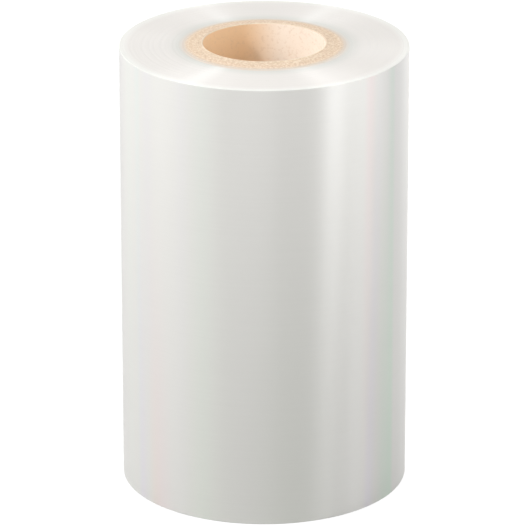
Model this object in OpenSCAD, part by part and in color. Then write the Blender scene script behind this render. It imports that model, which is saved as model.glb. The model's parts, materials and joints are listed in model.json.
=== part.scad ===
// A roll of clear packing film, standing on its end.
// The film is wound tight on a paper core. The core's top end rises a little to its mouth,
// as the wedge of a knife leaves it, and its foot is cut square.
// The roll's axis is Z, and the end that it stands on lies at z = 0.

/* [Core] */
// Bore of the paper core
core_bore_d = 76.2; // [70:0.1:90]
// Wall of the paper core, through all its plies
core_wall = 12.9; // [4:0.1:20]
// Rise of the core's top end from its outer edge, flush with the film, to its bore
core_rise = 1.5; // [0:0.1:5]
// Thickness of one ply of paper
ply = 0.9; // [0.5:0.1:1.5]
// Furthest that the edge of a ply is set back from the end of the core
ply_set_back = 0.06; // [0.02:0.01:0.15]
// Bevel at the two mouths of the bore
mouth_bevel = 0.4; // [0.1:0.1:1]

/* [Film] */
// Width of the film, which is the height of the roll as it stands
film_width = 285; // [100:1:600]
// Depth of film wound on the core
film_depth = 39; // [10:0.5:80]
// Thickness of one turn of film
film_gauge = 0.03; // [0.02:0.005:0.05]
// Turns that lie together as one band on an end of the roll
band_turns = 50; // [30:5:60]
// Furthest that a band is set back from the end of the roll
band_set_back = 0.08; // [0.04:0.01:0.3]
// Rounding of the outer rim at each end
rim_round = 0.5; // [0.2:0.1:2]

/* [Hidden] */
bore_r = core_bore_d / 2;
core_r = bore_r + core_wall;
roll_r = core_r + film_depth;
band_count = round(film_depth / (film_gauge * band_turns));
ply_count = round(core_wall / ply);
// Each band is turned this far on a cosine from the last, so that no two neighbours match
scatter = 137.5;
// Share of a ring's breadth that slopes to the next ring
slope_share = 0.2;
rim_steps = 6;
film_colour = "#e9e8e3";
core_colour = "#ecd0ad";
$fn = 180;

// An end outline is a list of [radius, depth into the body], from the outside inwards.

// Flat rings from r_out in to r_in, each set back by its own amount, the first by none,
// with a short slope between one ring and the next
function rings(r_out, r_in, count, set_back) = [
    for (k = [0 : count - 1], side = [0, k < count - 1 ? 1 - slope_share : 1])
        [
            r_out - (k + side) * (r_out - r_in) / count,
            set_back * (1 - cos(k * scatter)) / 2
        ]
];

// The rounded rim outside the first ring, short of the point that the ring itself starts with
function rim_arc(r_out, r) = [
    for (i = [0 : rim_steps - 1])
        let (turn = 90 * i / rim_steps)
        [r_out - r + r * cos(turn), r - r * sin(turn)]
];

// The same end outline on a cone that rises by so much from the core's outer edge to its bore
function coned(end, rise) = [
    for (point = end)
        [point.x, point.y - rise * (core_r - point.x) / core_wall]
];

// A body of revolution between two end outlines, the upper one at the film's width
module turned(foot, head) {
    upper = [for (i = [len(head) - 1 : -1 : 0]) [head[i].x, film_width - head[i].y]];
    rotate_extrude()
        polygon(concat(foot, upper));
}

// All the turns of film, as one solid, tight on the core
module film_roll() {
    end = concat(
        rim_arc(roll_r, rim_round),
        rings(roll_r - rim_round, core_r, band_count, band_set_back)
    );
    color(film_colour)
        turned(end, end);
}

// Paper tube, its wound plies showing as rings at each end
module paper_core() {
    end = concat(
        rings(core_r, bore_r + mouth_bevel, ply_count, ply_set_back),
        [[bore_r, mouth_bevel + ply_set_back]]
    );
    color(core_colour)
        turned(end, coned(end, core_rise));
}

film_roll();
paper_core();
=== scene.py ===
"""A roll of clear packing film on a paper core, standing on its end on a pale floor."""
import json
import math

import bmesh
import bpy
from mathutils import Matrix, Vector


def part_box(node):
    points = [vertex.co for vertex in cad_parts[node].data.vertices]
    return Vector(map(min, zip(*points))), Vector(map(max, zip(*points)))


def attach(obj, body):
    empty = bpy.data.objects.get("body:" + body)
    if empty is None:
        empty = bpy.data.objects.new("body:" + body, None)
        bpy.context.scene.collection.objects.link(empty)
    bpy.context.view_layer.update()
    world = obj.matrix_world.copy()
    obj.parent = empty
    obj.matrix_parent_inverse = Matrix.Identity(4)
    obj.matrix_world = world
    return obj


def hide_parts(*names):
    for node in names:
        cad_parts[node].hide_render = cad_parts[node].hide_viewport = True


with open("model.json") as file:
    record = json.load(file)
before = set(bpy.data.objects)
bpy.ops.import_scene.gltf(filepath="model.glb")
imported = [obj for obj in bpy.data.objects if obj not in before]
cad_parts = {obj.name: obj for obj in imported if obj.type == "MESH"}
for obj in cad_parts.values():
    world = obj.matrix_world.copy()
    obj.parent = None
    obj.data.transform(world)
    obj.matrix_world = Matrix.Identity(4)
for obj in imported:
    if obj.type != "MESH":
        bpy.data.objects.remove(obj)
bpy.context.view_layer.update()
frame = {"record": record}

MM = 0.001

# Sizes that the frame gives
ROLL_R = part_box("film_roll")[1].x
ROLL_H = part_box("film_roll")[1].z
CORE_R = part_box("paper_core")[1].x
BORE_R = next(m for m in frame["record"]["mounts"] if m["name"] == "core_bore")["dims"]["r_mm"] * MM

# How the two ends are finished, as in the solids
BANDS = 26
BAND_SET_BACK = 0.08 * MM
PLIES = 14
PLY_SET_BACK = 0.06 * MM
SCATTER = math.radians(137.5)
SLOPE_SHARE = 0.2
RIM_ROUND = 0.5 * MM
RIM_STEPS = 6
MOUTH_BEVEL = 0.4 * MM
CORE_RISE = 1.5 * MM

# What the solids leave out: the wander of fewer turns, and the hoops that the winding leaves on the wall
STRIPS_IN_BAND = 3
STRIP_SET_BACK = 0.01 * MM
HOOP_ROWS = 72
HOOP_DEPTH = 0.03 * MM

# A turned body is spun as one sector, which is then doubled until it goes all the way round
DOUBLINGS = 5
FILM_STEPS = 8
CORE_STEPS = 6
SAME_POINT = 0.0005 * MM
SHARP = math.radians(40)
# A face is part of an end where its normal is at least this steep
END_STEEPNESS = 0.6


def wander(step):
    """A share from 0 to 1 that differs from one step to the next, and is 0 at the first."""
    return (1 - math.cos(step * SCATTER)) / 2


def rings(r_out, r_in, count, set_back, strips, strip_set_back):
    """Points (radius, depth) of the rings on an end, from the outside in."""
    points = []
    breadth = (r_out - r_in) / count
    for k in range(count):
        flat = 1 - SLOPE_SHARE if k < count - 1 else 1
        for s in range(strips + 1):
            depth = set_back * wander(k) + strip_set_back * wander(k * strips + s)
            points.append((r_out - (k + flat * s / strips) * breadth, depth))
    return points


def quarter_round(r_out, r, steps):
    """Points (radius, depth) of a rounded rim, short of its last."""
    turns = [math.pi / 2 * i / steps for i in range(steps)]
    return [(r_out - r + r * math.cos(t), r - r * math.sin(t)) for t in turns]


def coned(end, rise):
    """The core's end outline on a cone that rises from its outer edge to its bore."""
    return [(r, depth - rise * (CORE_R - r) / (CORE_R - BORE_R)) for r, depth in end]


def turned(name, foot, head, wall, steps):
    """A closed body of revolution.

    foot and head outline its ends, and the points of wall are (radius, height).
    """
    upper = [(r, ROLL_H - depth) for r, depth in reversed(head)]
    bm = bmesh.new()
    outline = [bm.verts.new((r, 0, z)) for r, z in foot + upper + wall]
    edges = [bm.edges.new(pair) for pair in zip(outline, outline[1:] + outline[:1])]
    sector = 2 * math.pi / 2**DOUBLINGS
    bmesh.ops.spin(bm, geom=outline + edges, axis=(0, 0, 1), cent=(0, 0, 0), angle=sector, steps=steps)
    for i in range(DOUBLINGS):
        made = bmesh.ops.duplicate(bm, geom=bm.verts[:] + bm.edges[:] + bm.faces[:])["geom"]
        turn = Matrix.Rotation(sector * 2**i, 3, "Z")
        new_points = [part for part in made if isinstance(part, bmesh.types.BMVert)]
        bmesh.ops.rotate(bm, verts=new_points, cent=(0, 0, 0), matrix=turn)
    bmesh.ops.remove_doubles(bm, verts=bm.verts, dist=SAME_POINT)
    bmesh.ops.recalc_face_normals(bm, faces=bm.faces)
    mesh = bpy.data.meshes.new(name)
    bm.to_mesh(mesh)
    bm.free()
    mesh.shade_smooth()
    mesh.set_sharp_from_angle(angle=SHARP)
    piece = bpy.data.objects.new(name, mesh)
    bpy.context.scene.collection.objects.link(piece)
    return piece


def finish_ends(piece, wall_material, end_material):
    """Gives a turned piece one material on its walls and another on its two ends."""
    piece.data.materials.append(wall_material)
    piece.data.materials.append(end_material)
    for face in piece.data.polygons:
        face.material_index = 1 if abs(face.normal.z) > END_STEEPNESS else 0


class Wire:
    """An output of a node. Operators on it add Math nodes, and node() adds a node of any other kind."""

    def __init__(self, tree, socket=None):
        self.tree = tree
        self.socket = socket

    def feed(self, socket, value):
        """Links a wire to a socket, or sets the socket's own value."""
        if isinstance(value, Wire):
            self.tree.links.new(value.socket, socket)
        else:
            socket.default_value = value

    def node(self, kind, settings=None, *values, out=None, **named):
        """Adds a node, makes its settings, feeds its sockets in order and by name, and gives an output.

        A name has _ for a space. Without out, the output is the first that the settings leave in use.
        """
        made = self.tree.nodes.new("ShaderNode" + kind)
        for key, value in (settings or {}).items():
            setattr(made, key, value)
        used = [socket for socket in made.inputs if socket.enabled]
        for socket, value in zip(used, values):
            self.feed(socket, value)
        for name, value in named.items():
            self.feed(made.inputs[name.replace("_", " ")], value)
        if out:
            return Wire(self.tree, made.outputs[out])
        return Wire(self.tree, next((socket for socket in made.outputs if socket.enabled), None))

    def maths(self, operation, *values):
        return self.node("Math", {"operation": operation}, *values)

    def __add__(self, other):
        return self.maths("ADD", self, other)

    def __radd__(self, other):
        return self.maths("ADD", other, self)

    def __sub__(self, other):
        return self.maths("SUBTRACT", self, other)

    def __rsub__(self, other):
        return self.maths("SUBTRACT", other, self)

    def __mul__(self, other):
        return self.maths("MULTIPLY", self, other)

    def __rmul__(self, other):
        return self.maths("MULTIPLY", other, self)

    def __truediv__(self, other):
        return self.maths("DIVIDE", self, other)

    def __rtruediv__(self, other):
        return self.maths("DIVIDE", other, self)

    def smooth(self, low, high):
        """0 up to low, 1 from high on, and a soft rise between them."""
        return self.node("MapRange", {"interpolation_type": "SMOOTHSTEP"}, self, low, high, 0, 1)

    def mixed(self, colour, other, blend="MIX"):
        """The first colour where this wire is 0, and the other, or their product, where it is 1."""
        return self.node("Mix", {"data_type": "RGBA", "blend_type": blend}, self, colour, other)

    def noise(self, scale, detail, roughness=0.5):
        """Noise at this wire's place, with scale as its three sizes along X, Y and Z, per metre."""
        stretched = self.node("Mapping", None, Vector=self, Scale=scale)
        return self.node("TexNoise", None, Vector=stretched, Scale=1, Detail=detail, Roughness=roughness)

    def line_noise(self, scale, detail):
        """Noise that changes only with this wire, at so many waves per metre."""
        settings = {"noise_dimensions": "1D"}
        return self.node("TexNoise", settings, W=self * scale, Scale=1, Detail=detail)

    def axes(self):
        """The three numbers of a place."""
        return [self.node("SeparateXYZ", None, self, out=axis) for axis in "XYZ"]

    def from_axis(self):
        """How far a place lies from the roll's axis."""
        x, y, z = self.axes()
        return self.maths("SQRT", x * x + y * y)

    def azimuth(self):
        """The azimuth of a place in degrees: 0 on the side of -Y, growing towards +X."""
        x, y, z = self.axes()
        return self.maths("DEGREES", self.maths("ARCTAN2", x, 0 - y))


def new_material(name):
    """A material without nodes, and a bare wire to start them from."""
    material = bpy.data.materials.new(name)
    material.use_nodes = True
    material.node_tree.nodes.clear()
    return material, Wire(material.node_tree)


# Light spreads along the height of what is wound, and not around it
WOUND_GLOSS = {"Anisotropic": 1.0, "Anisotropic_Rotation": 0.25}
# A high IOR stands for the many faces of film that send light back
WALL_IOR = 2.1
EDGE_IOR = 1.9
# Waves per metre of the streaks along X, Y and Z, which run around the wall
WALL_STREAKS = (14, 14, 900)

# Linear colours of the film where its turns lie on each other, and of its cut edges
FILM_WHITE = (0.80, 0.79, 0.755, 1)
FILM_STREAK = (0.77, 0.76, 0.725, 1)
EDGE_WHITE = (0.775, 0.745, 0.71, 1)
# Painted light: the film's ends paler towards the rim
EDGE_RIM_GLOW = (0.84, 0.84, 0.80, 1)
EDGE_SHADOW = (0.65, 0.65, 0.61, 1)
EDGE_LINE = (0.74, 0.72, 0.69, 1)
# Colour of the painted highlight spokes
EDGE_SPOKE_HIGHLIGHT = (1.0, 1.0, 0.97, 1)

# Waves per metre of the lines and of the broader bands on the film's ends
EDGE_LINES = 2600
EDGE_BANDS = 420
# How far the film's ends carry painted shade beside the core and are tinted by its paper, and where painted
# light makes them paler at the rim
SHADE_REACH = 12 * MM
TINT_REACH = 3 * MM
RIM_GLOW_FROM = 7 * MM
RIM_GLOW_TO = 1 * MM

# Linear colours of the core's paper
KRAFT = (0.76, 0.59, 0.43, 1)
KRAFT_PALE = (0.90, 0.78, 0.64, 1)
KRAFT_TAN = (0.66, 0.48, 0.33, 1)
KRAFT_FLECK = (0.50, 0.36, 0.25, 1)
KRAFT_DULL = (0.70, 0.63, 0.56, 1)
# The bore's paper with painted light: tan on the shaded side and cream on the lit side
BORE_SHADED_TAN = (0.89, 0.62, 0.38, 1)
BORE_LIT_CREAM = (0.98, 0.88, 0.77, 1)

# Waves per metre of the paper's grain and flecks, of its rows of plies and of the bore's fibres
PAPER_GRAIN = (900, 900, 900)
PAPER_FLECKS = (620, 620, 620)
PLY_ROWS = 900
BORE_FIBRES = (480, 480, 480)
# Where the core's end is paler at its mouth, and duller at its outer edge, which the grain makes ragged
MOUTH_PALE_FROM = 0.5 * MM
MOUTH_PALE_TO = 1.2 * MM
DULL_FROM = -2.5 * MM
DULL_TO = 1.5 * MM
RAGGED = 3 * MM

# Painted highlights on the film's ends, as spokes where the lamps' gloss would streak across the rings:
# azimuth in degrees, reach, strength
PAINTED_SPOKES = [(-31, 9, 0.3), (151, 9, 0.25), (-153, 9, 0.15)]

# Painted reflections and painted shade: pastel sheens that the clear film shows only at some angles of
# view, and grey shade at the left edge and on the right side, each as a product with its white
PINK = (1.04, 0.96, 0.98, 1)
PEACH = (1.06, 0.98, 0.92, 1)
LILAC = (0.99, 0.97, 1.05, 1)
CYAN = (0.94, 1.03, 1.03, 1)
GREEN = (0.90, 1.01, 0.94, 1)
PALE_GREEN = (0.98, 1.02, 1.0, 1)
MOSS = (0.97, 1.0, 0.96, 1)
# The grey is painted shade
PAINTED_SHADE_GREY = (0.85, 0.85, 0.87, 1)

# Sheens: tint, azimuth in degrees, lean over the height, reach before and after, and strength at the
# top and the foot. Azimuth is 0 on the side of -Y and grows towards +X. A strength below 0 is none.
PAINTED_SHEENS = [
    (PAINTED_SHADE_GREY, -84, 0, 8, 14, 0.7, 0.1),
    (PALE_GREEN, -68, 0, 5, 5, 0.6, 0.4),
    (CYAN, -60, 0, 4, 3, 0.5, 0.1),
    (LILAC, -60, 2, 4, 5, -0.2, 1.0),
    (LILAC, -53, 0, 5, 5, 0.4, 0.1),
    (PEACH, -54, 4, 4, 6, -0.7, 0.5),
    (PINK, -52, 6, 6, 9, -0.3, 1.0),
    (LILAC, -34, 0, 5, 5, 0.3, 0.1),
    (PALE_GREEN, -25, 0, 6, 7, 0.6, 0.5),
    (MOSS, -26, 0, 13, 20, 0.1, 0.9),
    (MOSS, 10, 0, 30, 30, -0.1, 0.7),
    (PINK, 46, -2, 4, 5, 1.1, 0.1),
    (LILAC, 52, -6, 4, 5, 0.2, 1.0),
    (GREEN, 57, 0, 7, 8, -0.1, 1.0),
    (GREEN, 61, 1, 5, 3, 0.7, 0.9),
    (PAINTED_SHADE_GREY, 62, 0, 12, 24, 1.0, -0.5),
    (PALE_GREEN, 97, 3, 7, 5, 0.6, 0.3),
    (LILAC, 108, 2, 6, 8, 0.5, 0.2),
    (PEACH, 123, -5, 4, 6, 0.6, -0.2),
    (CYAN, 137, 2, 6, 6, 0.2, 0.7),
    (PINK, 152, 3, 7, 3, 0.3, 0.7),
    (LILAC, 166, 0, 5, 5, 0.4, 0.1),
    (PINK, -99, 4, 6, 5, 0.2, 0.7),
    (PALE_GREEN, -112, 0, 8, 4, 0.4, 0.7),
    (LILAC, -127, -3, 5, 7, 0.6, 0.3),
    (CYAN, -143, 2, 6, 4, 0.5, 0.7),
    (PEACH, -158, 4, 4, 7, -0.2, 0.6),
]


def film_wall():
    """The outside of the roll: clear glossy film, milky where its turns lie on each other, with painted
    pastel reflections and painted shade.
    """
    material, start = new_material("film_wall")
    place = start.node("TexCoord", out="Object")
    azimuth = place.azimuth()
    height = place.axes()[2]
    depth = 1 - height / ROLL_H
    streaks = place.noise(WALL_STREAKS, 2, 0.6)
    colour = streaks.mixed(FILM_STREAK, FILM_WHITE)
    # Painted reflections and shade: each sheen tints or darkens the film's white around its azimuth
    for tint, at, lean, before, after, top, foot in PAINTED_SHEENS:
        off = azimuth - (depth * lean + at)
        shape = off.smooth(-before, 0) * (1 - off.smooth(0, after))
        colour = (shape * (depth * (foot - top) + top)).mixed(colour, tint, "MULTIPLY")
    relief = start.node("Bump", None, Strength=0.15, Distance=0.02 * MM, Height=streaks)
    shader = start.node(
        "BsdfPrincipled",
        Base_Color=colour,
        Roughness=streaks * 0.16 + 0.37,
        IOR=WALL_IOR,
        Normal=relief,
        **WOUND_GLOSS,
    )
    start.node("OutputMaterial", Surface=shader)
    return material


def film_edges():
    """The ends of the roll, where the cut edges of the turns lie side by side."""
    material, start = new_material("film_edges")
    place = start.node("TexCoord", out="Object")
    radius = place.from_axis()
    lines = radius.line_noise(EDGE_LINES, 1)
    bands = radius.line_noise(EDGE_BANDS, 2)
    colour = radius.smooth(CORE_R, CORE_R + SHADE_REACH).mixed(EDGE_SHADOW, EDGE_WHITE)
    # Painted light: a glow that makes the ends paler towards the rim
    colour = radius.smooth(ROLL_R - RIM_GLOW_FROM, ROLL_R - RIM_GLOW_TO).mixed(colour, EDGE_RIM_GLOW)
    colour = (lines.smooth(0.45, 0.75) * 0.5).mixed(colour, EDGE_LINE)
    colour = (bands.smooth(0.5, 0.8) * 0.4).mixed(colour, EDGE_LINE)
    azimuth = place.azimuth()
    # Painted highlights: pale spokes across the ends
    for at, reach, strength in PAINTED_SPOKES:
        off = start.maths("ABSOLUTE", azimuth - at)
        colour = ((1 - off.smooth(0, reach)) * strength).mixed(colour, EDGE_SPOKE_HIGHLIGHT)
    tint = (1 - radius.smooth(CORE_R, CORE_R + TINT_REACH)) * 0.7
    colour = tint.mixed(colour, KRAFT_DULL)
    relief = start.node("Bump", None, Strength=0.25, Distance=0.02 * MM, Height=lines + bands)
    shader = start.node(
        "BsdfPrincipled",
        Base_Color=colour,
        Roughness=lines * 0.1 + 0.55,
        IOR=EDGE_IOR,
        Normal=relief,
        **WOUND_GLOSS,
    )
    start.node("OutputMaterial", Surface=shader)
    return material


def core_ends():
    """The cut ends of the core: speckled plies of paper."""
    material, start = new_material("core_ends")
    place = start.node("TexCoord", out="Object")
    radius = place.from_axis()
    ply = (CORE_R - BORE_R) / PLIES
    grain = place.noise(PAPER_GRAIN, 2, 0.7)
    fleck = place.noise(PAPER_FLECKS, 2, 0.6)
    rows = radius.line_noise(PLY_ROWS, 1)
    colour = (grain.smooth(0.42, 0.66) * 0.8).mixed(KRAFT, KRAFT_TAN)
    colour = ((1 - fleck).smooth(0.48, 0.64) * 0.65).mixed(colour, KRAFT_PALE)
    colour = (fleck.smooth(0.54, 0.68) * 0.4).mixed(colour, KRAFT_FLECK)
    colour = (rows.smooth(0.5, 0.7) * 0.35).mixed(colour, KRAFT_PALE)
    within = start.maths("FRACT", (CORE_R - radius) / ply)
    seam = within.smooth(0.75, 0.95)
    colour = (seam * 0.35).mixed(colour, KRAFT_TAN)
    mouth = (1 - radius.smooth(BORE_R + MOUTH_PALE_FROM, BORE_R + MOUTH_PALE_TO)) * 0.5
    colour = mouth.mixed(colour, KRAFT_PALE)
    # Duller towards the core's outer edge
    dulled = (radius + grain * RAGGED).smooth(CORE_R + DULL_FROM, CORE_R + DULL_TO)
    colour = dulled.mixed(colour, KRAFT_DULL)
    relief = start.node("Bump", None, Strength=0.5, Distance=0.08 * MM, Height=grain - seam)
    shader = start.node("BsdfPrincipled", Base_Color=colour, Roughness=grain * 0.1 + 0.8, Normal=relief)
    start.node("OutputMaterial", Surface=shader)
    return material


def core_bore():
    """The paper inside the bore, with painted light that makes it paler towards +X, and mottled by its
    fibres.
    """
    material, start = new_material("core_bore")
    place = start.node("TexCoord", out="Object")
    fibres = place.noise(BORE_FIBRES, 3, 0.6)
    # Painted light and shade: tan towards -X and cream towards +X, as if lit from the left
    colour = place.axes()[0].smooth(-0.4 * BORE_R, 0.35 * BORE_R).mixed(BORE_SHADED_TAN, BORE_LIT_CREAM)
    colour = (fibres.smooth(0.5, 0.72) * 0.28).mixed(colour, KRAFT_TAN)
    relief = start.node("Bump", None, Strength=0.4, Distance=0.1 * MM, Height=fibres)
    shader = start.node("BsdfPrincipled", Base_Color=colour, Roughness=fibres * 0.1 + 0.8, Normal=relief)
    start.node("OutputMaterial", Surface=shader)
    return material


def film():
    """All the turns of film as one body: hooped wall, rounded rims and ringed ends."""
    end = quarter_round(ROLL_R, RIM_ROUND, RIM_STEPS)
    end += rings(ROLL_R - RIM_ROUND, CORE_R, BANDS, BAND_SET_BACK, STRIPS_IN_BAND, STRIP_SET_BACK)
    clear = 2 * RIM_ROUND
    heights = [ROLL_H - clear - (ROLL_H - 2 * clear) * i / HOOP_ROWS for i in range(HOOP_ROWS + 1)]
    wall = [(ROLL_R - HOOP_DEPTH * wander(i), z) for i, z in enumerate(heights)]
    piece = turned("wound_film", end, end, wall, FILM_STEPS)
    finish_ends(piece, film_wall(), film_edges())
    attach(piece, "root")
    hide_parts("film_roll")


def core():
    """The paper tube: ringed ends, of which the top one rises to its mouth, and an open bore."""
    end = rings(CORE_R, BORE_R + MOUTH_BEVEL, PLIES, PLY_SET_BACK, 1, 0)
    end.append((BORE_R, MOUTH_BEVEL + PLY_SET_BACK))
    piece = turned("wound_core", end, coned(end, CORE_RISE), [], CORE_STEPS)
    finish_ends(piece, core_bore(), core_ends())
    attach(piece, "root")
    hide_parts("paper_core")


# The camera: far off with a long lens, looking down on the roll
CAMERA_AT = Vector((0.00047, -2.7594, 1.1853))
CAMERA_PITCH = 0.3625
PIXELS = 530
FOCAL_PIXELS = 4681.3
SENSOR_MM = 36


def camera():
    data = bpy.data.cameras.new("camera")
    data.sensor_width = SENSOR_MM
    data.lens = FOCAL_PIXELS * SENSOR_MM / PIXELS
    data.clip_end = 100
    eye = bpy.data.objects.new("camera", data)
    eye.location = CAMERA_AT
    eye.rotation_euler = (math.pi / 2 - CAMERA_PITCH, 0, 0)
    bpy.context.scene.collection.objects.link(eye)
    bpy.context.scene.camera = eye


# Softboxes: name, height aimed at, azimuth and elevation in degrees, distance, width, height, watts
MIDDLE = ROLL_H / 2
SOFTBOXES = [
    ("left_box", MIDDLE, -69, 40, 1.2, 1.2, 0.7, 6.7),
    ("bore_lamp", ROLL_H, -67, 38, 1.2, 0.08, 0.08, 8.2),
    ("key_strip", ROLL_H, 53, 22, 0.45, 0.12, 0.35, 0.98),
    ("right_box", MIDDLE, 78, 20, 1.2, 0.5, 0.8, 3.3),
    ("front_fill", ROLL_H, -8, 5, 0.55, 0.3, 0.25, 0.36),
    ("back_box", MIDDLE, -175, 52, 1.2, 0.7, 0.4, 3.6),
    ("left_rim", MIDDLE, -125, 15, 1.2, 0.6, 0.4, 0.3),
    ("right_rim", MIDDLE, 147, 12, 1.2, 0.68, 0.5, 1.2),
    ("back_fill", MIDDLE, 180, 2, 1.2, 0.6, 0.3, 6.0),
]
# Lamps that the glossy film doesn't mirror, so that they light only what is matt
MATT_LAMPS = ["bore_lamp", "back_fill"]
# Share of the white backdrop that lights the roll
AMBIENT = 0.01


def direction(azimuth, elevation):
    """The unit vector towards a place, its azimuth counted from the camera's side to the right."""
    a, e = math.radians(azimuth), math.radians(elevation)
    return Vector((math.sin(a) * math.cos(e), -math.cos(a) * math.cos(e), math.sin(e)))


def softbox(name, aim_height, azimuth, elevation, distance, width, height, watts):
    data = bpy.data.lights.new(name, "AREA")
    data.shape = "RECTANGLE"
    data.size = width
    data.size_y = height
    data.energy = watts
    box = bpy.data.objects.new(name, data)
    way = direction(azimuth, elevation)
    box.location = Vector((0, 0, aim_height)) + distance * way
    box.rotation_mode = "QUATERNION"
    box.rotation_quaternion = way.to_track_quat("Z", "Y")
    box.visible_camera = False
    box.visible_glossy = name not in MATT_LAMPS
    bpy.context.scene.collection.objects.link(box)


def seen_directly(start):
    """1 for the rays that meet the backdrop as the eye or a mirror does, else 0."""
    ways = [start.node("LightPath", out=f"Is {way} Ray") for way in ("Camera", "Glossy", "Transmission")]
    return start.maths("MAXIMUM", start.maths("MAXIMUM", ways[0], ways[1]), ways[2])


def backdrop():
    """White all round where it is seen, and hardly any light of its own on the roll."""
    world = bpy.data.worlds.new("studio")
    world.use_nodes = True
    world.node_tree.nodes.clear()
    start = Wire(world.node_tree)
    strength = seen_directly(start) * (1 - AMBIENT) + AMBIENT
    light = start.node("Background", None, Color=(1, 1, 1, 1), Strength=strength)
    start.node("OutputWorld", Surface=light)
    bpy.context.scene.world = world


FLOOR_SIDE = 12
# The floor as the roll's light sees it, its own white, and the share that the roll can shade
FLOOR_PALE = 0.5
FLOOR_GLOW = 0.97
FLOOR_SHADED = 0.1


def floor():
    """A pale floor that shows white, less a faint share where the roll shades it, and plain in the bore."""
    bm = bmesh.new()
    bmesh.ops.create_grid(bm, x_segments=1, y_segments=1, size=FLOOR_SIDE / 2)
    mesh = bpy.data.meshes.new("floor")
    bm.to_mesh(mesh)
    bm.free()
    material, start = new_material("pale_floor")
    plain = start.node("BsdfDiffuse", None, Color=(FLOOR_PALE, FLOOR_PALE, FLOOR_PALE, 1))
    glow = start.node("Emission", None, Strength=FLOOR_GLOW)
    shade = start.node("BsdfDiffuse", None, Color=(FLOOR_SHADED, FLOOR_SHADED, FLOOR_SHADED, 1))
    bright = start.node("AddShader", None, glow, shade)
    outside = start.node("TexCoord", out="Object").from_axis().smooth(BORE_R, CORE_R)
    beneath = start.node("NewGeometry", out="Backfacing")
    lit = start.maths("MAXIMUM", outside, beneath)
    both = start.node("MixShader", None, seen_directly(start) * lit, plain, bright)
    start.node("OutputMaterial", Surface=both)
    mesh.materials.append(material)
    ground = bpy.data.objects.new("floor", mesh)
    bpy.context.scene.collection.objects.link(ground)


camera()
film()
core()
for settings in SOFTBOXES:
    softbox(*settings)
backdrop()
floor()
bpy.context.scene.view_settings.view_transform = "Standard"
